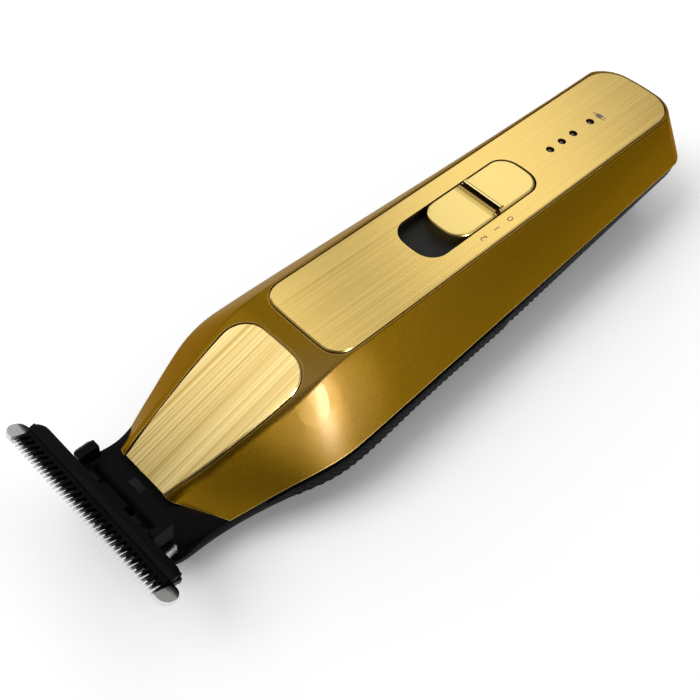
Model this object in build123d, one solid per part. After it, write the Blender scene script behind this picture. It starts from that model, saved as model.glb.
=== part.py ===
from build123d import *
import os
from math import asin, atan2, cos, exp, radians, sin, sqrt, tan, tanh

# A cordless hair trimmer with a wide T-shaped blade, lying on its back. +X runs from the blade
# to the tail, +Z leaves the switch face, and the origin is under the middle of its outline.

# Overall sizes
overall_length = 160.0
body_height = 26.0
shoulder_half = 20.7
tail_half = 16.7
wall = 2.0

# Front cover: a sloped nose, a crest, then a long flat deck
blade_reach = 13.6
nose_to_crest = 33.1
nose_slope = 19.8
nose_top_half = 5.4
deck_half = 10.6
deck_flare = 0.165
nose_edge_round = 2.1
nose_edge_drop = 1.05
edge_round = 0.6
edge_drop = 0.45
edge_setback = 31.0
edge_reach = 5.0
wall_bulge = 0.1
top_inset_share = 0.6
side_inset_share = 1.25
crest_blend = 0.7

# Line where the two covers meet, seen from the side and from above
corner_setback = 7.3
corner_height = 7.4
corner_half = 14.0
part_front_slope = 0.37
part_rear_slope = 0.0237
part_shoulder_height = 13.7
part_blend = 2.2
shoulder_front_flare = 0.34
shoulder_blend = 1.4
shoulder_setback = 37.6
part_gap = 0.1
tail_round = 7.8
tail_bulge = 1.6
tail_ease = 0.004
tail_skin = 0.15
tail_draft = 1.2
tail_tuck = 4.0
cover_tail_round = 6.6
loft_spans = 24

# Rear cover
cover_lip = 0.4
chin_reach = 4.6
chin_half = 13.15
chin_rim = 6.4
belly_half = 16.1
belly_setback = 44.2
belly_front_flare = 0.169
belly_rear_taper = 0.039
belly_nose_half = 10.6
flank_bulge = 0.85
shoulder_swell = 1.75
swell_setback = 29.3
swell_reach = 16.8
belly_sink = 0.3
chin_rise = 0.6
chin_rise_start = 1.0
tail_rise = 0.13
tail_rise_start = 30.0
belly_blend = 1.0
belly_plan_blend = 2.9
rim_blend = 0.4

# Decorative plates let into the front cover
plate_thickness = 0.9
roof_thickness = 1.7
plate_proud = 0.25
plate_gap = 0.3
plate_chamfer = 0.25
plate_half = 10.25
plate_start = 50.0
plate_end_gap = 1.95
plate_front_round = 4.2
plate_tail_round = 7.0
plate_front_bulge = 0.3
plate_tail_bulge = 1.4
slot_bulge = 0.9
badge_foot_half = 5.4
badge_mid_half = 8.3
badge_head_half = 9.6
badge_length = 33.6
badge_round = 5.6
badge_head_bulge = 0.6

# Slide switch
slot_inset = 80.4
slot_half = 5.9
slot_round = 4.4
slider_length = 26.6
slider_gap = 0.3
slider_end_gap = 0.4
slider_rise = 0.3
slide_gap = 0.05
slider_edge = 0.6
switch_travel = 8.1
ridge_from_front = 12.3
groove_half = 0.65
groove_depth = 1.0
lip_run = 2.2
lip_height = 0.7
rib_height = 0.85
rib_width = 0.9
rib_run = 0.8
liner_thickness = 1.5
liner_margin = 3.0
sleeve_thickness = 0.8
sleeve_gap = 0.05
stem_length = 7.0
stem_half = 1.5
stem_gap = 0.3
foot_thickness = 1.3
foot_length = 16.0
foot_half = 4.0
wiper_half = 2.4

# Charge lamps and the circuit board
lamp_insets = (35.8, 31.7, 27.6, 21.4)
lamp_hole = 0.95
lamp_radius = 0.55
lamp_sink = 0.25
lamp_gap = 0.1
guide_margin = 2.2
guide_thickness = 1.5
guide_half = 2.0
led_size = 1.6
led_height = 0.8
board_thickness = 1.2
board_half = 7.4
board_drop = 4.3
board_inset = 14.5
board_length = 67.0
board_screw_inset = 3.0
board_screw_spacing = 20.5
board_screw_offset = 5.2
board_screw_radius = 0.8
board_head_radius = 1.5
board_head_height = 0.9
board_screw_reach = 5.0
board_post_radius = 1.8
contact_thickness = 0.15
screw_gap = 0.05

# Power pack and the chassis it lies on
cell_radius = 6.5
cell_height = 11.0
cell_length = 44.0
cell_start = 84.0
tab_thickness = 0.3
tab_width = 5.0
chassis_bed = 3.0
chassis_thickness = 1.2
chassis_half = 6.3
chassis_start = 33.0
chassis_margin = 2.0
saddle_thickness = 2.5
saddle_inset = 6.0
saddle_spacing = 20.0
pad_radius = 1.8
pad_offset = 4.0

# Linear motor that swings the blade from side to side
drive_height = 9.2
blade_travel = 1.2
frame_plate = 1.0
frame_half = 8.0
motor_start = 47.0
core_half = 8.0
core_height = 5.0
core_length = 15.8
core_back = 4.6
core_leg = 2.4
core_centre_half = 1.75
coil_gap = 0.2
coil_side = 3.2
coil_top = 1.2
air_gap = 0.8
magnet_thickness = 1.0
magnet_gap = 0.6
yoke_thickness = 2.0
carrier_length = 3.8
carrier_height = 7.6
carrier_half = 8.6
side_arm_gap = 0.3
side_arm_height = 5.0
shaft_radius = 0.8
shaft_offset = 1.3
running_gap = 0.05
arm_half = 1.8
arm_length = 21.0
pin_radius = 1.25
pin_seat = 6.0

# Neck that carries the blade block
neck_reach = 5.3
neck_top = 12.4
neck_half = 8.3
neck_foot_half = 11.2
neck_length = 15.0
neck_flare = 0.21
neck_round = 2.2
neck_wall = 4.4
neck_inset = 0.3
channel_gap = 0.6
seal_radius = 3.6
seal_depth = 1.5

# Blade block
blade_tilt = 26.5
tip_height = 17.0
fixed_half = 22.6
fixed_thickness = 1.0
fixed_depth = 6.4
fixed_tongue = 8.5
fixed_tongue_half = 9.5
fixed_pitch = 0.94
fixed_tooth_length = 2.9
fixed_tooth_share = 0.5
tooth_tip_share = 0.45
ear_width = 2.8
ear_depth = 4.3
ear_round = 1.9
tooth_thinning = 0.5
moving_half = 19.4
moving_thickness = 0.85
moving_setback = 0.75
moving_depth = 6.3
moving_pitch = 1.38
moving_tooth_length = 1.75
blade_clearance = 0.05
bar_front = 3.4
bar_ridge = 4.25
bar_back = 6.2
bar_height = 0.85
bar_step = 0.2
bar_back_height = 0.5
bar_overhang = 0.5
bar_round = 2.0
fork_half = 3.2
fork_wall_gap = 0.4
fork_slot_gap = 0.06
fork_foot = 7.5
fork_thickness = 1.3
frame_front = 4.6
frame_foot = 6.6
frame_floor = 0.6
frame_side_half = 11.0
rail_height = 0.7
lug_gap = 0.1
lug_width = 2.5
lug_height = 3.3
lug_length = 4.2
lug_lead = 1.3
lug_top = 14.9
lug_chamfer = 0.8
blade_screw_radius = 0.4
blade_screw_head = 0.6
blade_screw_head_height = 0.6
blade_screw_offset = 7.6
blade_screw_place = 7.65
blade_screw_length = 3.2
clip_thickness = 0.4
clip_width = 1.6
clip_height = 3.2
clip_stand_off = 1.2
clip_gap = 0.3
clip_arm = 2.4
clip_arm_height = 2.4

# Screws that close the covers
screw_radius = 1.2
screw_head_radius = 2.4
screw_head_height = 1.8
screw_top = 19.4
boss_radius = 3.2
boss_floor = 2.6
front_screw_place = 42.0
front_screw_offset = 12.2
front_screw_seat = 6.4
tail_screw_inset = 16.5
tail_screw_offset = 10.9
tail_screw_seat = 10.4

# Charging inlet in the tail
inlet_half = 5.0
inlet_height = 5.4
inlet_centre = 10.9
inlet_depth = 10.5
inlet_back = 2.5
inlet_wall = 1.2
inlet_pin_radius = 0.8
inlet_pin_length = 3.5
inlet_pin_offset = 2.5

# Rubber side grips
grip_start = 28.0
grip_length = 65.0
grip_thickness = 0.4
grip_low = 7.6
grip_edge = 1.2

# Places worked out from the sizes above
x_tip = -overall_length / 2
x_tail = overall_length / 2
x_nose = x_tip + blade_reach
x_crest = x_nose + nose_to_crest
deck_height = body_height - plate_proud
plate_floor = body_height - plate_thickness
roof = plate_floor - roof_thickness
slope = tan(radians(nose_slope))
x_corner = x_nose + corner_setback
x_shoulder = x_nose + shoulder_setback
x_chin = x_nose - chin_reach
x_neck = x_nose - neck_reach
x_motor = x_tip + motor_start
side_taper = (shoulder_half - tail_half) / (x_tail - tail_round - x_shoulder)
far = 2 * overall_length


def soft_min(a, b, blend):
    return (a + b - sqrt((a - b) ** 2 + blend**2)) / 2


def soft_max(a, b, blend):
    return -soft_min(-a, -b, blend)


def block(x0, x1, y0, y1, z0, z1):
    """A box between two corners."""
    return Pos((x0 + x1) / 2, (y0 + y1) / 2, (z0 + z1) / 2) * Box(x1 - x0, y1 - y0, z1 - z0)


def rod_x(x0, x1, y, z, radius):
    return Pos((x0 + x1) / 2, y, z) * Rot(0, 90, 0) * Cylinder(radius, x1 - x0)


def rod_z(x, y, z0, z1, radius):
    return Pos(x, y, (z0 + z1) / 2) * Cylinder(radius, z1 - z0)


def mirrored(shape):
    """The shape and its copy across the middle plane."""
    return [shape, mirror(shape, about=Plane.XZ)]


def save(name, *solids):
    shapes = [solid for shape in solids for solid in shape.solids()]
    export_step(Compound(children=shapes), f"parts/{name}.step")


# Section sizes along the body
def deck_z(x):
    return soft_min(deck_height + slope * (x - x_crest), deck_height, crest_blend)


def deck_w(x):
    return soft_min(nose_top_half + deck_flare * (x - x_nose), deck_half, crest_blend)


def part_z(x):
    front = corner_height + part_front_slope * (x - x_corner)
    rear = part_shoulder_height + part_rear_slope * (x - x_shoulder)
    return soft_min(front, rear, part_blend)


def part_w(x):
    front = corner_half + shoulder_front_flare * (x - x_corner)
    rear = shoulder_half - side_taper * (x - x_shoulder)
    return soft_min(front, rear, shoulder_blend)


def belly_z(x):
    front = chin_rise * (x_nose + chin_rise_start - x)
    rear = tail_rise * (x - tail_rise_start)
    rise = soft_max(front, rear, belly_blend)
    return soft_max(rise, 0, belly_blend) - belly_sink


def belly_w(x):
    """Half width of the flat underside: narrow at the chin, widest under the shoulder."""
    past = x - x_nose - belly_setback
    front = belly_half + belly_front_flare * past
    rear = belly_half - belly_rear_taper * past
    return soft_max(soft_min(front, rear, belly_plan_blend), belly_nose_half, belly_blend)


def flank_swell(x):
    """How far the side of the rear cover bulges out from a straight line."""
    past = (x - x_nose - swell_setback) / swell_reach
    return flank_bulge + shoulder_swell * exp(-past**2)


# Even stations keep the lofted surfaces calm
def stations(x_first):
    span = x_tail + wall - x_first
    return [x_first + span * i / loft_spans for i in range(loft_spans + 1)]


def flip(point):
    return (point[0], -point[1], point[2])


def edge_size(x, nose_size, deck_size):
    """A size of the cover's top edge, which is soft along the nose and tight along the deck."""
    share = (1 + tanh((x - x_nose - edge_setback) / edge_reach)) / 2
    return nose_size + (deck_size - nose_size) * share


def upper_section(x, inset, drop):
    """Closed trapezoid section of the front cover, set in by the inset."""
    edge_width = edge_size(x, nose_edge_round, edge_round)
    edge_depth = edge_size(x, nose_edge_drop, edge_drop)
    w_top = deck_w(x) - inset * top_inset_share
    z_top = deck_z(x) - inset
    w_low = part_w(x) - inset * side_inset_share
    z_low = part_z(x)
    w_edge = w_top + edge_width
    z_edge = z_top - edge_depth
    lean = (w_low - w_edge) / (z_edge - z_low)
    w_low += lean * drop
    z_low -= drop
    side = (x, (w_edge + w_low) / 2 + wall_bulge, (z_edge + z_low) / 2 + wall_bulge * lean)
    radius = (edge_width**2 + edge_depth**2) / (2 * edge_depth)
    half_turn = asin(edge_width / radius) / 2
    turn = (x, w_top + radius * sin(half_turn), z_top - radius * (1 - cos(half_turn)))
    low = (x, w_low, z_low)
    edge = (x, w_edge, z_edge)
    top = (x, w_top, z_top)
    return Face(Wire([
        Line(flip(low), low),
        ThreePointArc(low, side, edge),
        ThreePointArc(edge, turn, top),
        Line(top, flip(top)),
        ThreePointArc(flip(top), flip(turn), flip(edge)),
        ThreePointArc(flip(edge), flip(side), flip(low)),
    ]))


def lower_section(x, inset, rise):
    """Closed boat-shaped section of the rear cover, grown or set in by the inset."""
    w_top = soft_max(part_w(x) - cover_lip, chin_half, belly_blend) - inset * side_inset_share
    z_top = soft_max(part_z(x), chin_rim, rim_blend) - part_gap + rise
    w_low = belly_w(x) - inset * top_inset_share
    z_low = belly_z(x) + inset
    lean = (w_top - w_low) / (z_top - z_low)
    bulge = flank_swell(x) / sqrt(1 + lean**2)
    side = (x, (w_top + w_low) / 2 + bulge, (z_top + z_low) / 2 - bulge * lean)
    top = (x, w_top, z_top)
    low = (x, w_low, z_low)
    return Face(Wire([
        Line(flip(top), top),
        ThreePointArc(top, side, low),
        Line(low, flip(low)),
        ThreePointArc(flip(low), flip(side), flip(top)),
    ]))


def plate_outline(x0, x1, half, round0, round1, bulge0, bulge1):
    """A long plate seen from above, with bulged ends and rounded corners."""
    face = Face(Wire([
        Line((x0, -half), (x1, -half)),
        ThreePointArc((x1, -half), (x1 + bulge1, 0), (x1, half)),
        Line((x1, half), (x0, half)),
        ThreePointArc((x0, half), (x0 - bulge0, 0), (x0, -half)),
    ]))
    face = fillet(face.vertices().group_by(Axis.X)[0], round0)
    return fillet(face.vertices().group_by(Axis.X)[-1], round1)


def tail_outline(z, half, inset, radius):
    """Plan of the tail at one height: open-ended sides and two rounded corners."""
    x_end = x_tail - inset - tail_bulge
    x_open = x_shoulder - far
    wide = half + (x_end - x_open) * (side_taper + tail_ease)
    face = Face(Wire([
        Line((x_open, -wide, z), (x_end, -half, z)),
        ThreePointArc((x_end, -half, z), (x_end + tail_bulge, 0, z), (x_end, half, z)),
        Line((x_end, half, z), (x_open, wide, z)),
        Line((x_open, wide, z), (x_open, -wide, z)),
    ]))
    corners = face.vertices().group_by(Axis.X)[-1]
    return fillet(corners, radius)


def tail_cap(radius, low, high):
    """The tail's outline between two levels, each given by its height, half width and inset."""
    return loft([tail_outline(*low, radius), tail_outline(*high, radius)], ruled=True)


def upper_form(inset=0.0, drop=0.0):
    body = loft([upper_section(x, inset, drop) for x in stations(x_nose)])
    z_joint = part_z(x_tail)
    lean = (part_w(x_tail) - deck_half - edge_round) / (deck_height - edge_drop - z_joint)
    draft = tail_draft / (deck_height - z_joint)
    half = part_w(x_tail) + tail_skin - inset * side_inset_share
    below = z_joint + wall
    above = deck_height + wall - z_joint
    return body & tail_cap(
        tail_round - inset,
        (-wall, half + lean * below, inset - draft * below),
        (deck_height + wall, half - lean * above, inset + draft * above),
    )


def lower_form(x_first, inset=0.0, rise=0.0):
    body = loft([lower_section(x, inset, rise) for x in stations(x_first)])
    z_joint = part_z(x_tail)
    tuck = tail_tuck / (z_joint - belly_z(x_tail))
    half = part_w(x_tail) - cover_lip + tail_skin - inset * side_inset_share
    below = z_joint + wall
    return body & tail_cap(
        cover_tail_round - inset,
        (-wall, half, inset + tuck * below),
        (z_joint + 2 * wall, half, inset - tuck * 2 * wall),
    )


# Front cover, its two plates and what shows through them
slot_length = slider_length + switch_travel + 2 * slider_end_gap
x_slot = x_tail - slot_inset
x_plate = x_tip + plate_start
x_plate_end = x_tail - tail_draft - plate_end_gap
slider_half = slot_half - slider_gap
lamps = [x_tail - inset for inset in lamp_insets]
badge_plane = Plane(
    origin=(x_nose, 0, deck_z(x_nose)),
    x_dir=(cos(radians(nose_slope)), 0, sin(radians(nose_slope))),
    z_dir=(-sin(radians(nose_slope)), 0, cos(radians(nose_slope))),
)
nose_edge_slope = atan2(deck_z(x_nose) - corner_height, corner_setback)
nose_cut = Plane(
    origin=(x_nose, 0, deck_z(x_nose)),
    x_dir=(cos(nose_edge_slope), 0, -sin(nose_edge_slope)),
    z_dir=(-sin(nose_edge_slope), 0, -cos(nose_edge_slope)),
)
case_screws = [
    (x_tip + front_screw_place, front_screw_offset, front_screw_seat),
    (x_tail - tail_screw_inset, tail_screw_offset, tail_screw_seat),
]
board_top = roof - board_drop
x_board_end = x_tail - board_inset
x_board = x_board_end - board_length
board_screws = [x_board_end - board_screw_inset - board_screw_spacing * i for i in range(2)]


def top_plate_face(grow):
    return plate_outline(
        x_plate - grow, x_plate_end + grow, plate_half + grow,
        plate_front_round + grow, plate_tail_round + grow, plate_front_bulge, plate_tail_bulge,
    )


def slot_face(grow):
    return plate_outline(
        x_slot + slot_bulge - grow, x_slot + slot_length - slot_bulge + grow, slot_half + grow,
        slot_round + grow, slot_round + grow, slot_bulge, slot_bulge,
    )


def badge_face(grow):
    """The sloped plate in its own plane: a straight foot, swelling sides and a round head."""
    middle = badge_length / 2
    head = badge_length - badge_head_bulge
    foot_half = badge_foot_half + grow
    head_half = badge_head_half + grow
    face = Face(Wire([
        Line((0, -foot_half), (0, foot_half)),
        ThreePointArc((0, foot_half), (middle, badge_mid_half + grow), (head + grow, head_half)),
        ThreePointArc((head + grow, head_half), (badge_length + grow, 0), (head + grow, -head_half)),
        ThreePointArc((head + grow, -head_half), (middle, -badge_mid_half - grow), (0, -foot_half)),
    ]))
    return fillet(face.vertices().group_by(Axis.X)[-1], badge_round + grow)


def raised(face, low, high):
    """A flat outline made solid between two heights."""
    return Pos(0, 0, low) * extrude(face, amount=high - low, dir=(0, 0, 1))


def make_top_plate():
    plate = raised(top_plate_face(0), plate_floor, body_height)
    plate = chamfer(plate.faces().sort_by(Axis.Z)[-1].edges(), plate_chamfer)
    plate -= raised(slot_face(0), 0, body_height + wall)
    for x in lamps:
        plate -= rod_z(x, 0, 0, body_height + wall, lamp_hole)
    return plate


def make_badge_plate():
    plate = raised(badge_face(0), plate_proud - plate_thickness, plate_proud)
    plate = chamfer(plate.faces().sort_by(Axis.Z)[-1].edges(), plate_chamfer)
    return badge_plane * plate


def ahead_of_nose():
    """Everything in front of the slanted edge where the front cover ends."""
    return nose_cut * (Pos(0, 0, far / 2) * Box(far, far, far))


def make_front_cover(outer):
    cover = outer - upper_form(wall, drop=2 * wall)
    cover += block(x_plate, x_plate_end, -deck_half + wall, deck_half - wall, roof, plate_floor) & outer
    for x, y, seat in case_screws:
        for side in mirrored(rod_z(x, y, seat + boss_floor, body_height, boss_radius) & outer):
            cover += side
        for side in mirrored(rod_z(x, y, 0, screw_top + screw_gap, screw_radius + screw_gap)):
            cover -= side
    for x in board_screws:
        post = rod_z(x, board_screw_offset, board_top, roof + roof_thickness / 2, board_post_radius)
        post -= rod_z(x, board_screw_offset, 0, roof, board_screw_radius + screw_gap)
        for side in mirrored(post):
            cover += side
    cover -= raised(top_plate_face(plate_gap), plate_floor, body_height + wall)
    cover -= raised(slot_face(sleeve_thickness + sleeve_gap), roof - wall, plate_floor)
    for x in lamps:
        cover -= rod_z(x, 0, roof - wall, body_height, lamp_hole)
    cover -= badge_plane * raised(badge_face(plate_gap), plate_proud - plate_thickness, 2 * wall)
    return cover - ahead_of_nose()


def make_slider(x_rest):
    """Gold thumb slider: a swept-up lip, a groove, a rib across it and a stem through the liner."""
    face = plate_outline(
        x_rest + slot_bulge, x_rest + slider_length - slot_bulge, slider_half,
        slot_round - slider_gap, slot_round - slider_gap, slot_bulge, slot_bulge,
    )
    top = body_height + slider_rise
    cap = raised(face, roof + slide_gap, top)
    cap = fillet(cap.faces().sort_by(Axis.Z)[-1].edges(), slider_edge)
    x_ridge = x_rest + ridge_from_front
    base = top - slider_edge
    x_lip = x_ridge - groove_half
    x_rib = x_ridge + groove_half
    lip = Wire([
        Line((x_lip, 0, base), (x_lip - lip_run, 0, base)),
        Line((x_lip - lip_run, 0, base), (x_lip - lip_run, 0, top)),
        ThreePointArc((x_lip - lip_run, 0, top), (x_lip - lip_run / 3, 0, top + lip_height / 3),
                      (x_lip, 0, top + lip_height)),
        Line((x_lip, 0, top + lip_height), (x_lip, 0, base)),
    ])
    rib = Polyline(
        (x_rib, 0, base), (x_rib, 0, top + rib_height), (x_rib + rib_width, 0, top + rib_height),
        (x_rib + rib_width + rib_run, 0, top), (x_rib + rib_width + rib_run, 0, base), close=True,
    )
    for outline in (lip, Wire(rib)):
        cap += extrude(Face(outline), amount=slider_half - slider_edge, dir=(0, 1, 0), both=True)
    cap -= block(x_lip, x_rib, -far, far, top - groove_depth, far)
    x_mid = x_rest + slider_length / 2
    stem_foot = roof - liner_thickness - slide_gap
    cap += block(x_mid - stem_length / 2, x_mid + stem_length / 2, -stem_half, stem_half,
                 stem_foot, roof + slider_edge)
    return cap


def make_liner(x_rest):
    """Dark tray under the slot: a sleeve round it, a slit for the stem and legs down to the board."""
    floor = roof - liner_thickness
    x0 = x_slot - liner_margin
    tray = block(x0, x_slot + slot_length + liner_margin,
                 -slot_half - liner_margin, slot_half + liner_margin, floor, roof)
    x_mid = x_rest + slider_length / 2
    tray -= block(x_mid - stem_length / 2 - switch_travel - stem_gap, x_mid + stem_length / 2 + stem_gap,
                  -stem_half - stem_gap, stem_half + stem_gap, floor - wall, roof + wall)
    leg = block(x_board, x_slot + wall, foot_half + wall, board_half, board_top, floor)
    for side in mirrored(leg):
        tray += side
    sleeve = raised(slot_face(sleeve_thickness), roof, plate_floor - sleeve_gap)
    return tray + (sleeve - raised(slot_face(0), roof, plate_floor))


def make_light_guide():
    """Clear bar under the roof with a domed lens standing in each lamp hole."""
    guide = block(lamps[0] - guide_margin, lamps[-1] + guide_margin, -guide_half, guide_half,
                  roof - guide_thickness, roof)
    for x in lamps:
        lens = rod_z(x, 0, board_top + led_height + lamp_gap * 2, body_height - lamp_sink, lamp_radius)
        guide += fillet(lens.faces().sort_by(Axis.Z)[-1].edges(), lamp_radius - lamp_gap)
    return guide


def make_board():
    board = block(x_board, x_board_end, -board_half, board_half,
                  board_top - board_thickness, board_top)
    for x in board_screws:
        for y in (-board_screw_offset, board_screw_offset):
            board -= rod_z(x, y, 0, body_height, board_screw_radius + screw_gap)
    return board


def make_board_screws():
    under = board_top - board_thickness
    screws = []
    for x in board_screws:
        screw = rod_z(x, board_screw_offset, under - board_head_height, under, board_head_radius)
        screw += rod_z(x, board_screw_offset, under, under + board_screw_reach, board_screw_radius)
        screws += mirrored(screw)
    return screws


# Rear cover with its seats, grips and screws
def make_rear_cover(outer):
    cover = outer - lower_form(x_chin + wall, wall, rise=2 * wall)
    for x, y, seat in case_screws:
        boss = rod_z(x, y, -wall, seat + boss_floor, boss_radius) & outer
        for side in mirrored(boss):
            cover += side
    for x in chassis_pads:
        for side in mirrored(rod_z(x, pad_offset, 0, chassis_bed, pad_radius) & outer):
            cover += side
    for x, y, seat in case_screws:
        hole = rod_z(x, y, -wall, seat, screw_head_radius + screw_gap)
        hole += rod_z(x, y, -wall, body_height, screw_radius + screw_gap)
        for side in mirrored(hole):
            cover -= side
    cover -= inlet_block()
    return cover - block(-far, far, -far, far, -far, 0)


def make_case_screws():
    screws = []
    for x, y, seat in case_screws:
        screw = rod_z(x, y, seat - screw_head_height, seat, screw_head_radius)
        screw += rod_z(x, y, seat, screw_top, screw_radius)
        screws += mirrored(screw)
    return screws


def make_grips(outer):
    """Thin rubber skins along both cheeks of the rear cover."""
    skin = lower_form(x_chin, -grip_thickness, rise=-grip_edge) - outer
    x0 = x_tip + grip_start
    zone = block(x0, x0 + grip_length, wall, far, grip_low, body_height)
    return mirrored(skin & zone)


# Charging inlet
def inlet_block():
    x_back = x_tail - inlet_depth - inlet_back
    half = inlet_half + inlet_wall
    tall = inlet_height / 2 + inlet_wall
    return block(x_back, x_tail + wall, -half, half, inlet_centre - tall, inlet_centre + tall)


def make_inlet(outer):
    socket = inlet_block() & outer
    x_floor = x_tail - inlet_depth
    socket -= block(x_floor, x_tail + wall, -inlet_half, inlet_half,
                    inlet_centre - inlet_height / 2, inlet_centre + inlet_height / 2)
    for side in mirrored(rod_x(x_floor - inlet_back - wall, x_floor + wall, inlet_pin_offset,
                               inlet_centre, inlet_pin_radius)):
        socket -= side
    return socket


def make_inlet_pins():
    x_floor = x_tail - inlet_depth
    return mirrored(rod_x(x_floor - inlet_back - inlet_wall, x_floor + inlet_pin_length,
                          inlet_pin_offset, inlet_centre, inlet_pin_radius))


# Chassis and power pack
x_cell = x_tip + cell_start
x_chassis = x_tip + chassis_start
saddles = [x_cell + saddle_inset + saddle_spacing * i for i in range(2)]
x_chassis_end = saddles[-1] + saddle_thickness / 2 + chassis_margin
chassis_top = chassis_bed + chassis_thickness
chassis_pads = [x_chassis + pad_radius + chassis_margin, saddles[0], saddles[1]]


def make_chassis():
    tray = block(x_chassis, x_chassis_end, -chassis_half, chassis_half, chassis_bed, chassis_top)
    for x in saddles:
        tray += block(x - saddle_thickness / 2, x + saddle_thickness / 2, -chassis_half, chassis_half,
                      chassis_bed, cell_height - cell_radius / 3)
    return tray - rod_x(x_cell - wall, x_cell + cell_length, 0, cell_height, cell_radius)


def make_cell_tabs():
    under = board_top - board_thickness
    low = cell_height - tab_width / 2
    places = (x_cell - tab_thickness, x_cell + cell_length)
    return [block(x, x + tab_thickness, -tab_width / 2, tab_width / 2, low, under) for x in places]


# Linear motor
x_carrier = x_motor + carrier_length
x_yoke = x_carrier + yoke_thickness
x_magnet = x_yoke + magnet_thickness
x_core = x_magnet + air_gap
x_core_back = x_core + core_length
core_low = drive_height - core_height / 2
core_high = drive_height + core_height / 2
carrier_low = drive_height - carrier_height / 2
carrier_high = drive_height + carrier_height / 2
side_arm_inner = carrier_half + blade_travel + side_arm_gap
side_arm_outer = side_arm_inner + frame_plate
side_arm_low = drive_height - side_arm_height / 2
side_arm_high = drive_height + side_arm_height / 2


def make_motor_frame():
    """Base plate, back wall and two side arms that hold the guide shafts."""
    top = chassis_top + frame_plate
    x_wall = x_core_back + frame_plate
    frame = block(x_core, x_wall, -frame_half, frame_half, chassis_top, top)
    frame += block(x_core_back, x_wall, -frame_half, frame_half, top, side_arm_high)
    frame += block(x_core_back, x_wall, -side_arm_outer, side_arm_outer, side_arm_low, side_arm_high)
    for side in mirrored(block(x_motor, x_wall, side_arm_inner, side_arm_outer,
                               side_arm_low, side_arm_high)):
        frame += side
    for side in mirrored(block(x_core + frame_plate, x_core_back, core_half - core_leg, core_half,
                               top, core_low)):
        frame += side
    for shaft in make_guide_shafts(shaft_radius):
        frame -= shaft
    return frame


def make_guide_shafts(radius):
    """Two steel shafts across the motor that the moving carrier slides on."""
    x = x_motor + carrier_length / 2
    places = (drive_height - shaft_offset, drive_height + shaft_offset)
    return [Pos(x, 0, z) * Rot(90, 0, 0) * Cylinder(radius, 2 * side_arm_outer) for z in places]


def make_core():
    core = block(x_core, x_core_back, -core_half, core_half, core_low, core_high)
    for side in mirrored(block(x_core, x_core_back - core_back, core_centre_half, core_half - core_leg,
                               core_low, core_high)):
        core -= side
    return core


def make_coil():
    x0 = x_core + coil_gap
    x1 = x_core_back - core_back - coil_gap
    outer = core_centre_half + coil_side
    coil = block(x0, x1, -outer, outer, core_low - coil_top, core_high + coil_top)
    return coil - block(x0 - wall, x1 + wall, -core_centre_half, core_centre_half, core_low, core_high)


def make_mover_carrier():
    carrier = block(x_motor, x_carrier, -carrier_half, carrier_half, carrier_low, carrier_high)
    carrier += block(x_motor - arm_length, x_motor, -arm_half, arm_half,
                     drive_height - arm_half, drive_height + arm_half)
    x_arm = x_motor - arm_length
    carrier -= rod_x(x_arm - wall, x_arm + pin_seat, 0, drive_height, pin_radius)
    for shaft in make_guide_shafts(shaft_radius + running_gap):
        carrier -= shaft
    return carrier


def make_magnets():
    half = magnet_gap / 2
    return mirrored(block(x_yoke, x_magnet, half, core_half, core_low, core_high))


# Neck
x_fork_back = x_neck - fork_wall_gap
x_fork = x_fork_back - fork_thickness


def make_neck(front_cover, rear_cover):
    foot = chin_rim + part_gap
    ends = []
    for run in (0, neck_length):
        x = x_neck + run
        low = neck_foot_half + neck_flare * run
        top = neck_half + neck_flare * run
        outline = Polyline(
            (x, -low, foot), (x, low, foot), (x, top, neck_top), (x, -top, neck_top), close=True
        )
        ends.append(Face(Wire(outline)))
    neck = loft(ends, ruled=True)
    front_edge = neck.faces().sort_by(Axis.X)[0].edges().sort_by(Axis.Z)[-1]
    neck = fillet(front_edge, neck_round)
    swing = pin_radius + blade_travel + channel_gap
    rise = pin_radius + channel_gap
    neck -= block(x_neck + neck_wall, far, -swing, swing, drive_height - rise, drive_height + rise)
    neck -= block(x_neck - wall, far, -swing + channel_gap / 2, swing - channel_gap / 2,
                  drive_height - rise + channel_gap / 2, drive_height + rise - channel_gap / 2)
    x_seal = x_neck + neck_wall - seal_depth
    neck -= rod_x(x_seal, x_neck + neck_wall, 0, drive_height, seal_radius)
    neck = (neck & ahead_of_nose()) + (neck & upper_form(neck_inset, drop=2 * wall))
    neck = neck - front_cover - rear_cover
    return neck.solids().sort_by(SortBy.VOLUME)[-1]


def make_seal():
    x_seal = x_neck + neck_wall - seal_depth
    swing = pin_radius + blade_travel + channel_gap / 3
    rise = pin_radius + channel_gap / 3
    seal = rod_x(x_seal, x_seal + seal_depth, 0, drive_height, seal_radius)
    return seal - block(-far, far, -swing, swing, drive_height - rise, drive_height + rise)


# Blade block, drawn flat in the tilted plane of the blades: x back from the tips, z up from the cut
x_cut = x_tip + fixed_thickness * sin(radians(blade_tilt))
blade_plane = Plane(
    origin=(x_cut, 0, tip_height),
    x_dir=(cos(radians(blade_tilt)), 0, -sin(radians(blade_tilt))),
    z_dir=(sin(radians(blade_tilt)), 0, cos(radians(blade_tilt))),
)
channel_half = fork_half + blade_travel + fork_wall_gap


def comb(pitch, half, tip, root, back, tooth_share):
    """Outline of a toothed plate: tapered teeth from the root line to the tip line."""
    count = int(2 * half / pitch)
    first = -count * pitch / 2
    points = [(back, -half), (root, -half)]
    for i in range(count):
        middle = first + (i + 0.5) * pitch
        wide = pitch * tooth_share / 2
        thin = wide * tooth_tip_share
        points += [(root, middle - wide), (tip, middle - thin), (tip, middle + thin), (root, middle + wide)]
    points += [(root, half), (back, half)]
    return Face(Wire(Polyline(*points, close=True)))


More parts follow.
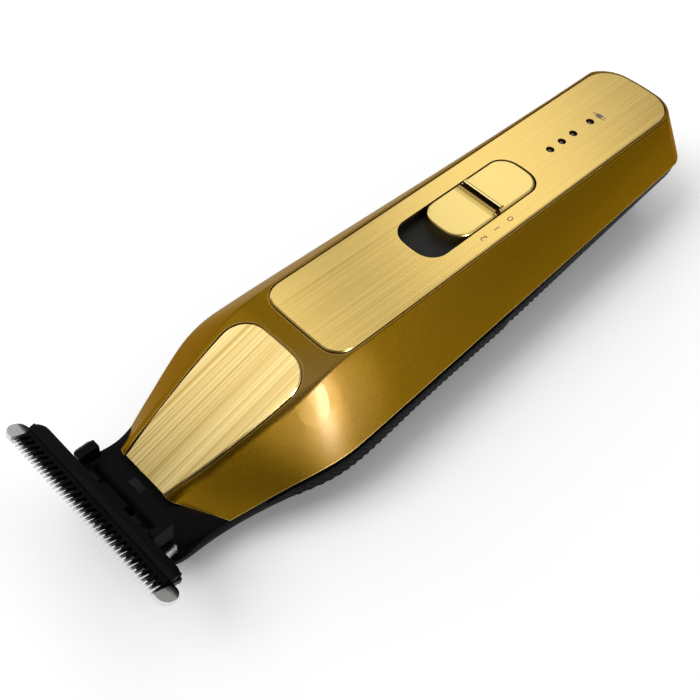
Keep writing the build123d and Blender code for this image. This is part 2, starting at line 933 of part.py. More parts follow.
def make_fixed_blade():
    inner = fixed_half - ear_width
    blade = raised(comb(fixed_pitch, inner, 0, fixed_tooth_length, fixed_depth, fixed_tooth_share),
                   -fixed_thickness, 0)
    ear = block(0, ear_depth, inner - fixed_pitch / 4, fixed_half, -fixed_thickness, 0)
    ear = fillet(ear.edges().filter_by(Axis.Z).group_by(Axis.Y)[-1], ear_round)
    for side in mirrored(ear):
        blade += side
    tongue = block(fixed_depth, fixed_tongue, channel_half, fixed_tongue_half, -fixed_thickness, 0)
    tongue -= rod_z(blade_screw_place, blade_screw_offset, -wall, wall, blade_screw_radius + screw_gap)
    tongue -= rod_z(blade_screw_place, blade_screw_offset, -blade_screw_head_height, wall,
                    blade_screw_head + screw_gap)
    for side in mirrored(tongue):
        blade += side
    thin = Polyline((-wall, 0, tooth_thinning * -2), (0, 0, -tooth_thinning),
                    (fixed_tooth_length, 0, 0), (fixed_tooth_length, 0, wall), (-wall, 0, wall), close=True)
    return blade - extrude(Face(Wire(thin)), amount=inner, dir=(0, 1, 0), both=True)


def make_moving_blade():
    face = comb(moving_pitch, moving_half, moving_setback, moving_setback + moving_tooth_length,
                moving_depth, fixed_tooth_share)
    return raised(face, blade_clearance, blade_clearance + moving_thickness)


def make_blade_bar():
    """Raised bar along the moving blade: a rising front, a ridge, then a stepped back."""
    low = blade_clearance + moving_thickness
    back = low + bar_back_height
    profile = Polyline(
        (bar_front, 0, low), (bar_front, 0, low + bar_step), (bar_ridge, 0, low + bar_height),
        (bar_ridge + bar_step, 0, low + bar_height), (bar_ridge + 2 * bar_step, 0, back + bar_step / 2),
        (bar_back, 0, back), (bar_back, 0, low), close=True,
    )
    half = moving_half + bar_overhang
    bar = extrude(Face(Wire(profile)), amount=half, dir=(0, 1, 0), both=True)
    outline = block(bar_front - wall, bar_back, -half, half, 0, far)
    corners = outline.edges().filter_by(Axis.Z).group_by(Axis.X)[-1]
    return bar & fillet(corners, bar_round)


def make_fork():
    """Tongue behind the moving blade with an open slot for the drive pin."""
    low = blade_clearance
    reach = (x_fork_back - x_cut) / cos(radians(blade_tilt))
    tongue = block(moving_depth, reach, -fork_half, fork_half, low, low + moving_thickness)
    fork = blade_plane * tongue & block(-far, x_fork_back, -far, far, 0, far)
    level = tip_height - (x_fork_back - x_cut) * tan(radians(blade_tilt))
    fork += block(x_fork, x_fork_back, -fork_half, fork_half, fork_foot, level + moving_thickness / 2)
    slot = pin_radius + fork_slot_gap
    return fork - block(x_fork - far, far, -slot, slot, 0, drive_height + pin_radius + fork_slot_gap)


def make_blade_frame():
    """Black carrier under the fixed blade, open in the middle for the fork, with side lugs."""
    x0 = x_cut + frame_front * cos(radians(blade_tilt))
    frame = block(x0, x_neck, -frame_side_half, frame_side_half, frame_foot, far)
    frame -= blade_plane * block(-far, fixed_tongue, -far, far, -fixed_thickness, far)
    frame -= blade_plane * block(-far, far, -far, far, rail_height, far)
    frame -= block(-far, far, -channel_half, channel_half, frame_foot + frame_floor, far)
    x_lug = x_neck - lug_lead
    inner = fixed_tongue_half + lug_gap
    lug = block(x_lug, x_lug + lug_length, inner, inner + lug_width, lug_top - lug_height, lug_top)
    lug = chamfer(lug.faces().sort_by(Axis.Y)[-1].edges(), lug_chamfer)
    for side in mirrored(lug):
        frame += side
    hole = rod_z(blade_screw_place, blade_screw_offset, -fixed_thickness - blade_screw_length,
                 wall, blade_screw_radius + screw_gap)
    for side in mirrored(hole):
        frame -= blade_plane * side
    return frame


def make_blade_screws():
    screw = rod_z(blade_screw_place, blade_screw_offset, -fixed_thickness - blade_screw_length + screw_gap,
                  -blade_screw_head_height, blade_screw_radius)
    screw += rod_z(blade_screw_place, blade_screw_offset, -blade_screw_head_height, -screw_gap,
                   blade_screw_head)
    return [blade_plane * side for side in mirrored(screw)]


def make_blade_clip():
    """Steel spring strip under the blade carrier with two upturned ends that reach back."""
    x1 = x_neck - clip_gap
    half = frame_side_half + clip_stand_off
    clip = block(x1 - clip_width, x1, -half, half, frame_foot - clip_thickness, frame_foot)
    end = block(x1 - clip_width, x1, half, half + clip_thickness,
                frame_foot - clip_thickness, frame_foot + clip_height)
    top = frame_foot + clip_height
    end += block(x1 - clip_width, x1 + clip_arm, half, half + clip_thickness, top - clip_arm_height, top)
    for side in mirrored(end):
        clip += side
    return clip


# Build every piece
os.makedirs("parts", exist_ok=True)
x_slider = x_slot + slot_length - slider_end_gap - slider_length
x_stem = x_slider + slider_length / 2
foot_top = roof - liner_thickness - slide_gap
foot_low = foot_top - foot_thickness

upper = upper_form()
lower = lower_form(x_chin)
front_cover = make_front_cover(upper)
rear_cover = make_rear_cover(lower)

save("front_cover", front_cover)
save("rear_cover", rear_cover)
save("side_grips", *make_grips(lower))
save("top_plate", make_top_plate())
save("badge_plate", make_badge_plate())
save("slot_liner", make_liner(x_slider))
save("light_guide", make_light_guide())
save("circuit_board", make_board())
save("board_screws", *make_board_screws())
save("indicator_leds", *[
    block(x - led_size / 2, x + led_size / 2, -led_size / 2, led_size / 2, board_top, board_top + led_height)
    for x in lamps
])
save("switch_contacts", *[
    block(x_stem - switch_travel * i / 2 - led_size / 2, x_stem - switch_travel * i / 2 + led_size / 2,
          -wiper_half, wiper_half, board_top, board_top + contact_thickness)
    for i in range(3)
])
save("case_screws", *make_case_screws())
save("inlet_socket", make_inlet(lower))
save("inlet_pins", *make_inlet_pins())
save("chassis", make_chassis())
save("battery_cell", rod_x(x_cell, x_cell + cell_length, 0, cell_height, cell_radius))
save("battery_tabs", *make_cell_tabs())
save("motor_frame", make_motor_frame())
save("stator_core", make_core())
save("motor_coil", make_coil())
save("guide_shafts", *make_guide_shafts(shaft_radius))
save("neck_housing", make_neck(front_cover, rear_cover))
save("neck_seal", make_seal())

save("switch_slider", make_slider(x_slider))
save("switch_foot", block(x_stem - foot_length / 2, x_stem + foot_length / 2, -foot_half, foot_half,
                          foot_low, foot_top))
save("switch_wiper", block(x_stem - led_size / 2, x_stem + led_size / 2, -wiper_half, wiper_half,
                           board_top + contact_thickness + slide_gap, foot_low))

save("mover_carrier", make_mover_carrier())
save("mover_yoke", block(x_carrier, x_yoke, -core_half, core_half, core_low, core_high))
save("mover_magnets", *make_magnets())
save("drive_pin", rod_x(x_fork, x_motor - arm_length + pin_seat, 0, drive_height, pin_radius))

save("blade_frame", make_blade_frame())
save("fixed_blade", blade_plane * make_fixed_blade())
save("blade_screws", *make_blade_screws())
save("blade_clip", make_blade_clip())

save("moving_blade", blade_plane * make_moving_blade())
save("blade_bar", blade_plane * make_blade_bar())
save("drive_fork", make_fork())
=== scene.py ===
import math

import bpy
from mathutils import Matrix, Vector
from mathutils.bvhtree import BVHTree


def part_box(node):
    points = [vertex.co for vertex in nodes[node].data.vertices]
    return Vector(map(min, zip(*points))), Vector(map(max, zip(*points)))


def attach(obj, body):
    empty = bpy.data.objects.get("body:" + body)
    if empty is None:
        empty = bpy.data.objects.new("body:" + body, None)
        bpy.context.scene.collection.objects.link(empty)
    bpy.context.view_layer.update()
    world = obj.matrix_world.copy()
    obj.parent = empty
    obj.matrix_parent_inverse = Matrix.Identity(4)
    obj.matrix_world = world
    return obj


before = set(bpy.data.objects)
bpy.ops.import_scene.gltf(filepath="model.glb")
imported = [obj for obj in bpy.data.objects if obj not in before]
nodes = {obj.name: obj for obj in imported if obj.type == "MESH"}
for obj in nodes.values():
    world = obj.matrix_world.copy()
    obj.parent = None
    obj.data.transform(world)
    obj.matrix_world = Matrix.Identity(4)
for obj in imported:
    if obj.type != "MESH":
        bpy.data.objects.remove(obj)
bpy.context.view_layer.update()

MM = 0.001
scene = bpy.context.scene
scene.view_settings.view_transform = "Standard"


# Shader nodes
def shader_inputs(finish):
    """The inputs of a finish's shader."""
    return finish.node_tree.nodes["Principled BSDF"].inputs


def material(name):
    """A new node material with its tree and its shader's inputs."""
    made = bpy.data.materials.new(name)
    made.use_nodes = True
    return made, made.node_tree, shader_inputs(made)


def feed(tree, value, socket):
    """Gives an input another node's output or a fixed value."""
    if isinstance(value, bpy.types.NodeSocket):
        tree.links.new(value, socket)
    else:
        socket.default_value = value


def place_of(tree, space="Object"):
    """Places in a space, as one vector and as its three axes."""
    place = tree.nodes.new("ShaderNodeTexCoord").outputs[space]
    split = tree.nodes.new("ShaderNodeSeparateXYZ")
    tree.links.new(place, split.inputs["Vector"])
    return place, split.outputs


def calculate(tree, operation, *values, kind="ShaderNodeMath"):
    """A number worked out from outputs or fixed values."""
    node = tree.nodes.new(kind)
    node.operation = operation
    for value, socket in zip(values, node.inputs):
        feed(tree, value, socket)
    return node.outputs["Value"]


def noise(tree, scale):
    """Noise in the object's own space, with one scale per axis in cycles per metre."""
    detail = 4.0
    mapping = tree.nodes.new("ShaderNodeMapping")
    mapping.inputs["Scale"].default_value = scale
    made = tree.nodes.new("ShaderNodeTexNoise")
    made.inputs["Scale"].default_value = 1.0
    made.inputs["Detail"].default_value = detail
    tree.links.new(tree.nodes.new("ShaderNodeTexCoord").outputs["Object"], mapping.inputs["Vector"])
    tree.links.new(mapping.outputs["Vector"], made.inputs["Vector"])
    return made.outputs["Fac"]


def average(tree, first, second):
    """The mean of two values."""
    mix = tree.nodes.new("ShaderNodeMix")
    mix.inputs["Factor"].default_value = 0.5
    tree.links.new(first, mix.inputs["A"])
    tree.links.new(second, mix.inputs["B"])
    return mix.outputs["Result"]


def remap(tree, value, reach, levels=(0.0, 1.0), easing="LINEAR"):
    """A value's reach mapped to a pair of levels, which hold beyond its ends."""
    span = tree.nodes.new("ShaderNodeMapRange")
    span.interpolation_type = easing
    for end, level in zip(("From Min", "From Max", "To Min", "To Max"), (*reach, *levels)):
        span.inputs[end].default_value = level
    tree.links.new(value, span.inputs["Value"])
    return span.outputs["Result"]


def fade(tree, value, reach, levels=(1.0, 0.0)):
    """A level that goes smoothly from one to another over a value's reach."""
    return remap(tree, value, reach, levels, "SMOOTHERSTEP")


def ramp(tree, value, stops):
    """Colours along a value; each stop is its place and its colour."""
    made = tree.nodes.new("ShaderNodeValToRGB")
    elements = made.color_ramp.elements
    for element, (place, colour) in zip(elements, (stops[0], stops[-1])):
        element.position = place
        element.color = (*colour, 1)
    for place, colour in stops[1:-1]:
        elements.new(place).color = (*colour, 1)
    tree.links.new(value, made.inputs["Fac"])
    return made.outputs["Color"]


def colour_socket(sockets, name):
    """The socket of a mix node that has a name and carries a colour."""
    return next(socket for socket in sockets if socket.name == name and socket.type == "RGBA")


def colour_mix(tree, first, second, blend="MIX", share=1.0):
    """A colour mixed from two; share is the second one's part."""
    mix = tree.nodes.new("ShaderNodeMix")
    mix.data_type = "RGBA"
    mix.blend_type = blend
    feed(tree, share, mix.inputs["Factor"])
    feed(tree, first, colour_socket(mix.inputs, "A"))
    feed(tree, second, colour_socket(mix.inputs, "B"))
    return colour_socket(mix.outputs, "Result")


def bump(tree, value, depth):
    """A node that tilts the normal as if a value times a depth were the surface's height."""
    node = tree.nodes.new("ShaderNodeBump")
    node.inputs["Distance"].default_value = depth
    tree.links.new(value, node.inputs["Height"])
    return node


def grey(level):
    """A colour without hue."""
    return (level, level, level)


# Finishes; a grain is a list of one or two noise scales
def even(scale):
    """A grain that is alike along all axes."""
    return [(scale, scale, scale)]


NOISE_REACH = (0.3, 0.7)
FINE = even(6000)
PAINT = even(3200)
MOULDED = even(4000)
ROLLED = [(5000, 300, 5000)]
STREAKS = [(10, 4200, 10), (6, 1500, 6)]
DEEP_STREAKS = [(9, 3600, 9), (5, 1300, 5)]


def surface(name, dark, light, grain, rough, depth, metallic=0.0, coat=0.0, specular=0.5):
    """A finish whose colour, roughness and bump follow one noise or the mean of two."""
    dark_place = 0.35
    light_place = 0.65
    made, tree, inputs = material(name)
    value = noise(tree, grain[0])
    if len(grain) > 1:
        value = average(tree, value, noise(tree, grain[1]))
    tone = ramp(tree, value, [(dark_place, dark), (light_place, light)])
    tree.links.new(tone, inputs["Base Color"])
    tree.links.new(remap(tree, value, NOISE_REACH, rough), inputs["Roughness"])
    tree.links.new(bump(tree, value, depth).outputs["Normal"], inputs["Normal"])
    inputs["Metallic"].default_value = metallic
    inputs["Coat Weight"].default_value = coat
    inputs["Coat Roughness"].default_value = 0.26
    inputs["Specular IOR Level"].default_value = specular
    return made


gold_body = surface("gold_body", dark=(0.19, 0.1, 0.0029), light=(0.231, 0.124, 0.0041),
                    grain=PAINT, rough=(0.3, 0.34), depth=4e-6, metallic=1.0)
gold_plate = surface("gold_plate", dark=(0.77, 0.53, 0.155), light=(0.91, 0.66, 0.21),
                     grain=STREAKS, rough=(0.2, 0.28), depth=7e-6, metallic=1.0)
gold_badge = surface("gold_badge", dark=(0.52, 0.34, 0.09), light=(1.0, 0.8, 0.36),
                     grain=DEEP_STREAKS, rough=(0.2, 0.28), depth=1.2e-5, metallic=1.0)
black_plastic = surface("black_plastic", dark=grey(0.003), light=grey(0.006),
                        grain=MOULDED, rough=(0.36, 0.46), depth=6e-6, specular=0.025)
grip_rubber = surface("grip_rubber", dark=grey(0.009), light=grey(0.016),
                      grain=MOULDED, rough=(0.5, 0.65), depth=8e-6, specular=0.05)
steel = surface("steel", dark=(0.52, 0.52, 0.5), light=(0.68, 0.68, 0.66),
                grain=ROLLED, rough=(0.2, 0.3), depth=3e-6, metallic=1.0)
black_steel = surface("black_steel", dark=grey(0.002), light=grey(0.005),
                      grain=[(6000, 200, 6000)], rough=(0.3, 0.4), depth=3e-6, specular=0.04)
smoky = surface("smoky_lamp", dark=(0.05, 0.048, 0.045), light=(0.08, 0.077, 0.072),
                grain=FINE, rough=(0.12, 0.16), depth=1e-7, coat=0.3)
board_green = surface("board_green", dark=(0.02, 0.14, 0.05), light=(0.03, 0.2, 0.07),
                      grain=even(700), rough=(0.3, 0.45), depth=5e-6)
brass = surface("contact_brass", dark=(0.7, 0.5, 0.2), light=(0.8, 0.6, 0.28),
                grain=[(3000, 500, 3000)], rough=(0.2, 0.3), depth=2e-6, metallic=1.0)
cell_wrap = surface("cell_wrap", dark=(0.03, 0.13, 0.33), light=(0.04, 0.16, 0.4),
                    grain=even(900), rough=(0.25, 0.35), depth=4e-6)
core_iron = surface("core_iron", dark=(0.12, 0.12, 0.13), light=(0.2, 0.2, 0.21),
                    grain=[(300, 300, 9000)], rough=(0.4, 0.55), depth=1e-5, metallic=1.0)
copper = surface("coil_copper", dark=(0.55, 0.22, 0.08), light=(0.75, 0.34, 0.14),
                 grain=[(9000, 300, 300)], rough=(0.25, 0.4), depth=3e-5, metallic=1.0)
dark_liner = surface("dark_liner", dark=grey(0.012), light=grey(0.017),
                     grain=MOULDED, rough=(0.4, 0.5), depth=6e-6, specular=0.15)
ink = surface("printed_ink", dark=(0.03, 0.027, 0.02), light=(0.05, 0.045, 0.035),
              grain=FINE, rough=(0.45, 0.6), depth=1e-7)
grey_ink = surface("grey_ink", dark=(0.13, 0.115, 0.09), light=(0.17, 0.15, 0.12),
                   grain=FINE, rough=(0.45, 0.6), depth=1e-7)


def slider_gold_and_painted_light():
    """Smooth gold with painted shade up the lip, in the groove behind it and on the rib's flank, and a
    painted highlight along the rib's crest.
    """
    made, tree, inputs = material("gold_slider")
    gold = (0.9, 0.68, 0.235)
    # The darker tones are painted shade on the lip's slope, in the groove and on the rib's flank; the pale
    # crest tone is a painted highlight along the rib's top
    shade = (0.33, 0.2, 0.03)
    groove_shade = (0.018, 0.01, 0.002)
    flank = (0.16, 0.085, 0.012)
    crest_highlight = (1.0, 0.84, 0.42)
    rough = (0.25, 0.27)

    # The painted shade and highlight run over the groove and as far as lip_run to each side of it
    groove_start = 11.65 * MM
    groove_end = 12.95 * MM
    lip_run = 1.3 * MM
    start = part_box("switch_slider")[0][0] + groove_start - lip_run
    run = groove_end - groove_start + 2 * lip_run
    along = remap(tree, place_of(tree)[1]["X"], (start, start + run))

    # Places of the painted shade and highlight as shares of that run
    lip = lip_run / run
    rib = 1 - lip
    sharp = 0.01
    lip_shade = lip - 0.1
    lip_gold = lip - 0.05
    flank_start = rib - 0.13
    crest_end = rib + 0.07
    rear_shade = rib + 0.12
    rear_gold = rib + 0.2
    colour = ramp(tree, along, [
        (0.0, gold), (lip_shade, shade), (lip_gold, gold), (lip - sharp, gold),
        (lip + sharp, groove_shade), (flank_start - 2 * sharp, groove_shade),
        (flank_start, flank), (rib - sharp, flank),
        (rib + sharp, crest_highlight), (crest_end, crest_highlight),
        (rear_shade, shade), (rear_gold, gold), (1.0, gold),
    ])
    tree.links.new(colour, inputs["Base Color"])
    tree.links.new(remap(tree, noise(tree, FINE[0]), NOISE_REACH, rough), inputs["Roughness"])
    inputs["Metallic"].default_value = 1.0
    return made


def blade_finish():
    """Dark steel whose tooth tips and two outer ears are bare and pale."""
    made, tree, inputs = material("blade_steel")
    pale = (0.72, 0.72, 0.71)
    middle = grey(0.12)
    dark = grey(0.006)
    rough = (0.22, 0.32)
    metallic = (1.0, 0.2)
    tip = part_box("fixed_blade")[0][0]
    bare_end = tip + 0.5 * MM
    dark_start = tip + 1.5 * MM
    ear = 19.7 * MM
    ear_blend = 0.2 * MM
    ear_bare = 2.3 * MM
    axes = place_of(tree)[1]
    side = calculate(tree, "ABSOLUTE", axes["Y"])
    extra = remap(tree, side, (ear, ear + ear_blend), (0.0, ear_bare))
    share = remap(tree, calculate(tree, "SUBTRACT", axes["X"], extra), (bare_end, dark_start))
    colour = ramp(tree, share, [(0.0, pale), (0.5, middle), (1.0, dark)])
    tree.links.new(colour, inputs["Base Color"])
    tree.links.new(remap(tree, noise(tree, ROLLED[0]), NOISE_REACH, rough), inputs["Roughness"])
    tree.links.new(remap(tree, share, (0.0, 1.0), metallic), inputs["Metallic"])
    inputs["Specular IOR Level"].default_value = 0.15
    return made


def painted_edge_highlight(finish, width, colour):
    """Paints a thin highlight line of a paler colour along a solid's sharp edges, where a rounded edge
    would catch the light.
    """
    edge_likeness = 0.9
    flat_likeness = 0.99
    tree = finish.node_tree
    base = shader_inputs(finish)["Base Color"]
    rounded = tree.nodes.new("ShaderNodeBevel")
    rounded.inputs["Radius"].default_value = width
    plain = tree.nodes.new("ShaderNodeNewGeometry")
    likeness = calculate(tree, "DOT_PRODUCT", rounded.outputs["Normal"], plain.outputs["Normal"],
                         kind="ShaderNodeVectorMath")
    share = remap(tree, likeness, (edge_likeness, flat_likeness), (1.0, 0.0))
    paint = base.links[0].from_socket
    tree.links.new(colour_mix(tree, paint, (*colour, 1), share=share), base)


def polish_shoulder(finish):
    """Gives a paint a thin clear coat and a soft bulge at the right shoulder, where it catches the lamp."""
    shoulder = Vector((-36, -13.8, 20.6)) * MM
    coat_reach = (1 * MM, 18 * MM)
    coat_weight = (0.65, 0.03)
    glow_reach = (7 * MM, 17 * MM)
    spread = 0.12
    bulge_radius = 62 * MM
    tree = finish.node_tree
    inputs = shader_inputs(finish)
    place, axes = place_of(tree)
    away = calculate(tree, "DISTANCE", place, shoulder, kind="ShaderNodeVectorMath")
    glow = fade(tree, away, glow_reach)
    paint_rough = inputs["Roughness"].links[0].from_socket
    paint_bump = inputs["Normal"].links[0].from_node
    tree.links.new(fade(tree, away, coat_reach, coat_weight), inputs["Coat Weight"])
    tree.links.new(calculate(tree, "MULTIPLY_ADD", glow, spread, paint_rough), inputs["Roughness"])
    inputs["Coat IOR"].default_value = 1.5
    inputs["Coat Roughness"].default_value = 0.3
    inputs["Specular Tint"].default_value = (0.7, 0.5, 0.16, 1)
    rise = calculate(tree, "SUBTRACT", axes["Z"], shoulder.z)
    dome = bump(tree, calculate(tree, "MULTIPLY", rise, rise), -1 / (2 * bulge_radius))
    tree.links.new(glow, dome.inputs["Strength"])
    tree.links.new(dome.outputs["Normal"], paint_bump.inputs["Normal"])


polish_shoulder(gold_body)
# A painted highlight along the gold shell's sharp edges
painted_edge_highlight(gold_body, width=0.2 * MM, colour=(0.66, 0.47, 0.17))
gold_slider = slider_gold_and_painted_light()
blade_steel = blade_finish()

FINISH = {
    gold_body: ["front_cover"],
    gold_plate: ["top_plate"],
    gold_badge: ["badge_plate"],
    gold_slider: ["switch_slider"],
    dark_liner: ["slot_liner"],
    black_plastic: ["rear_cover", "inlet_socket", "chassis", "neck_housing", "switch_foot",
                    "mover_carrier", "blade_frame", "drive_fork"],
    grip_rubber: ["side_grips", "neck_seal"],
    steel: ["board_screws", "case_screws", "inlet_pins", "battery_tabs", "motor_frame", "guide_shafts",
            "drive_pin", "blade_clip"],
    blade_steel: ["fixed_blade"],
    black_steel: ["blade_screws", "moving_blade", "blade_bar"],
    smoky: ["light_guide", "indicator_leds"],
    board_green: ["circuit_board"],
    brass: ["switch_contacts", "switch_wiper"],
    cell_wrap: ["battery_cell"],
    core_iron: ["stator_core", "mover_yoke", "mover_magnets"],
    copper: ["motor_coil"],
}
for finish, names in FINISH.items():
    for name in names:
        nodes[name].data.materials.clear()
        nodes[name].data.materials.append(finish)


# Pieces
def piece(name, mesh, finish, body):
    """Puts a mesh in the scene as a piece that rides on a body."""
    mesh.name = name
    mesh.materials.clear()
    mesh.materials.append(finish)
    made = bpy.data.objects.new(name, mesh)
    scene.collection.objects.link(made)
    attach(made, body)


def mesh_of(data):
    """The mesh of a curve or text."""
    holder = bpy.data.objects.new("source", data)
    mesh = bpy.data.meshes.new_from_object(holder)
    bpy.data.objects.remove(holder)
    return mesh


# Printed marks on the top plate
plate_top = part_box("top_plate")[1][2]
ink_height = 0.01 * MM
reading_turn = Matrix(((0, -1, 0), (1, 0, 0), (0, 0, 1))).to_4x4()
figure_size = 2.3 * MM
figure_thinning = -0.022 * MM
figure_side = -7.9 * MM
figure_places = {"0": 21.2 * MM, "1": 17.0 * MM, "2": 12.9 * MM}
plug_place = 61.75 * MM
for figure, x in figure_places.items():
    text = bpy.data.curves.new("figure", "FONT")
    text.body = figure
    text.size = figure_size
    text.offset = figure_thinning
    text.align_x = "CENTER"
    text.align_y = "CENTER"
    text.extrude = ink_height
    mesh = mesh_of(text)
    mesh.transform(Matrix.Translation((x, figure_side, plate_top)) @ reading_turn)
    piece("figure_" + figure, mesh, ink, "housing")


def plug_sign():
    """A small plug drawn as one outline, in mm and degrees: a lead, a domed body and two prongs."""
    body_half = 0.68
    body_low = -0.85
    prong_low = -1.75
    lead_top = 1.45
    thin = 0.14
    prong = 0.42
    dome_top = 75
    dome_step = 15
    dome = [math.radians(angle) for angle in range(dome_top, -1, -dome_step)]
    right = [(thin, lead_top)]
    right += [(body_half * math.cos(angle), body_half * math.sin(angle)) for angle in dome]
    right += [(body_half, body_low), (prong + thin, body_low), (prong + thin, prong_low),
              (prong - thin, prong_low), (prong - thin, body_low)]
    outline = right + [(-x, y) for x, y in reversed(right)]
    sign = bpy.data.curves.new("plug_sign", "CURVE")
    sign.dimensions = "2D"
    sign.fill_mode = "BOTH"
    sign.extrude = ink_height
    spline = sign.splines.new("POLY")
    spline.points.add(len(outline) - 1)
    for point, (x, y) in zip(spline.points, outline):
        point.co = (x * MM, y * MM, 0, 1)
    spline.use_cyclic_u = True
    return mesh_of(sign)


plug = plug_sign()
plug.transform(Matrix.Translation((plug_place, 0, plate_top)))
piece("plug_sign", plug, grey_ink, "housing")


# Slanting ribs on the rubber grips
def between(first, last, share):
    """A value at a share of the way from one to another."""
    return first + (last - first) * share


def closed_skin(rows):
    """A closed mesh from a grid of (outer, inner) point pairs."""
    columns = len(rows[0])
    last = len(rows) - 1
    points = [pair[layer] for layer in (0, 1) for row in rows for pair in row]
    inner = len(rows) * columns
    faces = []
    for row in range(last):
        for column in range(columns - 1):
            near = row * columns + column
            far = near + columns
            faces.append((near, near + 1, far + 1, far))
            faces.append((inner + near, inner + far, inner + far + 1, inner + near + 1))
    border = list(range(columns))
    border += [row * columns + columns - 1 for row in range(1, last + 1)]
    border += [last * columns + column for column in range(columns - 2, -1, -1)]
    border += [row * columns for row in range(last - 1, 0, -1)]
    for here, there in zip(border, border[1:] + border[:1]):
        faces.append((here, inner + here, inner + there, there))
    mesh = bpy.data.meshes.new("skin")
    mesh.from_pydata(points, [], faces)
    mesh.update()
    return mesh


def target(node):
    """A node's mesh, ready for ray casts in the shared frame."""
    return BVHTree.FromPolygons([node.matrix_world @ vertex.co for vertex in node.data.vertices],
                                [list(face.vertices) for face in node.data.polygons])


def cast(flank, side, x, z):
    """The outer point and outward normal of a flank at a place, or None where there is none."""
    start = 40 * MM
    hit, normal = flank.ray_cast(Vector((x, side * start, z)), Vector((0, -side, 0)))[:2]
    if hit is None:
        return None
    return hit, (normal if normal.y * side > 0 else -normal)


def band(flank, side, x, low, high):
    """The lowest and highest level at which a flank is met, with a small margin."""
    step = 0.1 * MM
    margin = 0.12 * MM
    levels = [low + step * i for i in range(int((high - low) / step) + 1)]
    met = [z for z in levels if cast(flank, side, x, z)]
    return min(met) + margin, max(met) - margin


def rib_skin(flank, side, places, bands, lifts):
    """A ribbed skin over a flank; each place along the body has its band of levels and its lift."""
    row_count = 20
    edge_rows = 2
    pitch = 1.65 * MM
    slant = 1.2
    height = 0.3 * MM
    roundness = 0.7
    sunk = 0.1 * MM
    last = row_count - 1
    rows = [[] for _ in range(row_count)]
    for x, (bottom, top), lift in zip(places, bands, lifts):
        end_share = min(1.0, (x - places[0]) / pitch, (places[-1] - x) / pitch)
        for row in range(row_count):
            z = between(top, bottom, row / last)
            hit, normal = cast(flank, side, x, z)
            phase = ((x - slant * (top - z)) / pitch) % 1.0
            rise = height * end_share * (1 - abs(2 * phase - 1)) ** roundness
            edge_share = min(1.0, row / edge_rows, (last - row) / edge_rows)
            rows[row].append((hit + normal * (rise + lift) * edge_share, hit - normal * sunk))
    if side > 0:
        rows.reverse()
    return closed_skin(rows)


def steps(first, last):
    """Places along the body for a skin's columns."""
    column_step = 0.25 * MM
    return [first + column_step * i for i in range(int((last - first) / column_step) + 1)]


# The ribs go on behind each grip as a band that rises to the gold shell and narrows towards the tail
front_gap = 4 * MM
rear_gap = 0.3 * MM
seam = 0.1 * MM
rear_end = 60 * MM
rear_rise = 14 * MM
rear_height = 1.6 * MM
gold_gap = 0.35 * MM
gold_levels = (5 * MM, 25 * MM)
grip_lift = 0.4 * MM
grip_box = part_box("side_grips")
grip_places = steps(grip_box[0][0] + front_gap, grip_box[1][0] - rear_gap)
rear_places = steps(grip_box[1][0] + seam, rear_end)
rear_start = rear_places[0]
rear_length = rear_places[-1] - rear_start
grip = target(nodes["side_grips"])
black_shell = target(nodes["rear_cover"])
gold_shell = target(nodes["front_cover"])
for name, side in (("left", 1), ("right", -1)):
    grip_bands = [band(grip, side, x, grip_box[0][2], grip_box[1][2]) for x in grip_places]
    mesh = rib_skin(grip, side, grip_places, grip_bands, [0.0] * len(grip_places))
    piece(name + "_ribs", mesh, grip_rubber, "housing")
    grip_bottom, grip_top = grip_bands[-1]
    rear_bands = []
    lifts = []
    for x in rear_places:
        gold_low = band(gold_shell, side, x, *gold_levels)[0]
        taper = (x - rear_start) / rear_length
        top = between(grip_top, gold_low - gold_gap, min(1.0, (x - rear_start) / rear_rise))
        bottom = between(grip_bottom, gold_low - rear_height, taper)
        rear_bands.append((bottom, top))
        lifts.append(between(grip_lift, 0.0, taper))
    mesh = rib_skin(black_shell, side, rear_places, rear_bands, lifts)
    piece(name + "_rear_ribs", mesh, grip_rubber, "housing")


# Camera at the photograph's place, found from the object's own edges
camera_place = Vector((-113.45, -83.40, 171.35)) * MM
right = Vector((0.71022, -0.70047, 0.07020))
up = Vector((0.52465, 0.59315, 0.61067))
back = Vector((-0.46939, -0.39688, 0.78877))
lens_pixels = 1024.4
picture_pixels = 700
camera = bpy.data.cameras.new("camera")
camera.sensor_width = 36
camera.sensor_fit = "HORIZONTAL"
camera.lens = lens_pixels / picture_pixels * camera.sensor_width
camera.clip_start = 5 * MM
eye = bpy.data.objects.new("camera", camera)
turn = Matrix((right, up, back)).transposed().to_4x4()
eye.matrix_world = Matrix.Translation(camera_place) @ turn
scene.collection.objects.link(eye)
scene.camera = eye

# Floor, which the camera and mirrored rays see a little lighter than the lamps make it
floor_reach = 3.0
floor_level = 0.94
floor_lift = 0.16
corners = [(-1, -1), (1, -1), (1, 1), (-1, 1)]
floor_mesh = bpy.data.meshes.new("floor")
floor_mesh.from_pydata([(x * floor_reach, y * floor_reach, 0) for x, y in corners], [], [(0, 1, 2, 3)])
floor = bpy.data.objects.new("floor", floor_mesh)
scene.collection.objects.link(floor)
pale, tree, inputs = material("floor_pale")
rays = tree.nodes.new("ShaderNodeLightPath").outputs
seen = calculate(tree, "MAXIMUM", rays["Is Camera Ray"], rays["Is Glossy Ray"])
tree.links.new(remap(tree, seen, (0.0, 1.0), (0.0, floor_lift)), inputs["Emission Strength"])
inputs["Emission Color"].default_value = (*grey(1.0), 1)
inputs["Base Color"].default_value = (*grey(floor_level), 1)
inputs["Roughness"].default_value = 0.9
inputs["Specular IOR Level"].default_value = 0.0
floor_mesh.materials.append(pale)


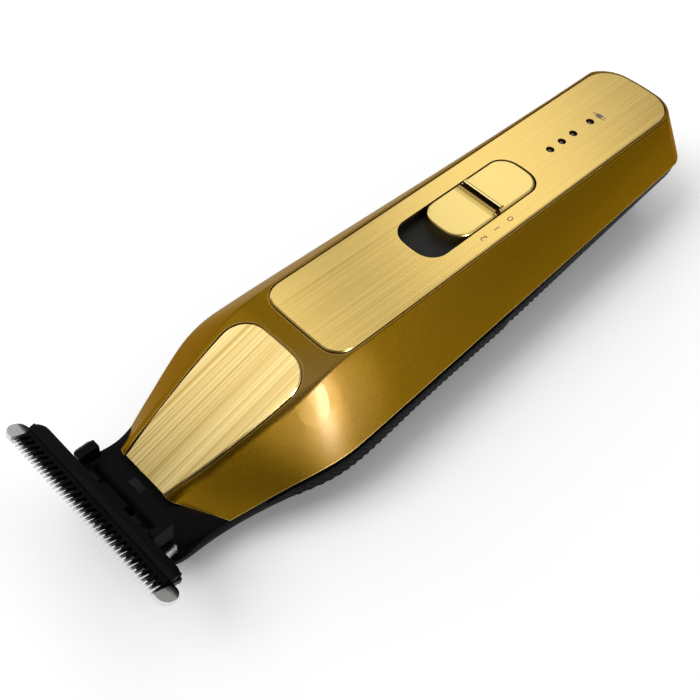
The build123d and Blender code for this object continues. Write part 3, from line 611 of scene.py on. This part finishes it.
# Lamps: the key throws the floor's shadow, and the shoulder lamp is only seen mirrored in the paint
def aimed(name, light, place, aim):
    """Puts a light at a place, turned towards its aim."""
    made = bpy.data.objects.new(name, light)
    made.location = place
    made.rotation_euler = (aim - place).to_track_quat("-Z", "Y").to_euler()
    scene.collection.objects.link(made)
    return made


key_place = Vector((-0.56, 0.35, 0.75))
key_aim = Vector((0, 0, 0))
key = bpy.data.lights.new("key", "SUN")
key.energy = 1.6
key.angle = math.radians(38)
aimed("key", key, key_place, key_aim).visible_glossy = False

shoulder_lamp_place = Vector((0.02, -0.56, 0.25))
shoulder_lamp_aim = Vector((-0.035, -0.013, 0.022))
shoulder_lamp = bpy.data.lights.new("shoulder", "AREA")
shoulder_lamp.shape = "DISK"
shoulder_lamp.size = 0.1
shoulder_lamp.energy = 2.6
aimed("shoulder", shoulder_lamp, shoulder_lamp_place, shoulder_lamp_aim).visible_diffuse = False


# Surround, with bright and dark stretches along X that differ over and beside the body
def greys(*stops):
    """A ramp's stops from pairs of a place and a level."""
    return [(place, grey(level)) for place, level in stops]


world = bpy.data.worlds.new("surround")
world.use_nodes = True
scene.world = world
tree = world.node_tree
axes = place_of(tree, "Generated")[1]
along = remap(tree, axes["X"], (-1.0, 1.0))
over = ramp(tree, along, greys(
    (0.0, 0.2), (0.3, 0.22), (0.34, 0.36), (0.37, 1.0), (0.45, 1.0),
    (0.55, 0.65), (0.63, 0.35), (0.68, 1.0), (0.72, 1.0), (0.74, 0.06),
    (0.772, 0.06), (0.785, 1.0), (0.85, 1.0), (0.87, 0.2), (1.0, 0.2)))
beside = ramp(tree, along, greys(
    (0.0, 0.05), (0.335, 0.06), (0.43, 0.1), (0.6, 0.14), (0.75, 0.52), (0.875, 0.2), (1.0, 0.2)))
height = ramp(tree, axes["Z"], greys((0.0, 0.65), (0.2, 0.8), (0.5, 0.95), (1.0, 1.0)))
over_reach = (-0.4, 0.2)
over_share = remap(tree, axes["Y"], over_reach)
room = colour_mix(tree, colour_mix(tree, beside, over, share=over_share), height, "MULTIPLY")
background = tree.nodes["Background"].inputs
tree.links.new(room, background["Color"])
background["Strength"].default_value = 1.5
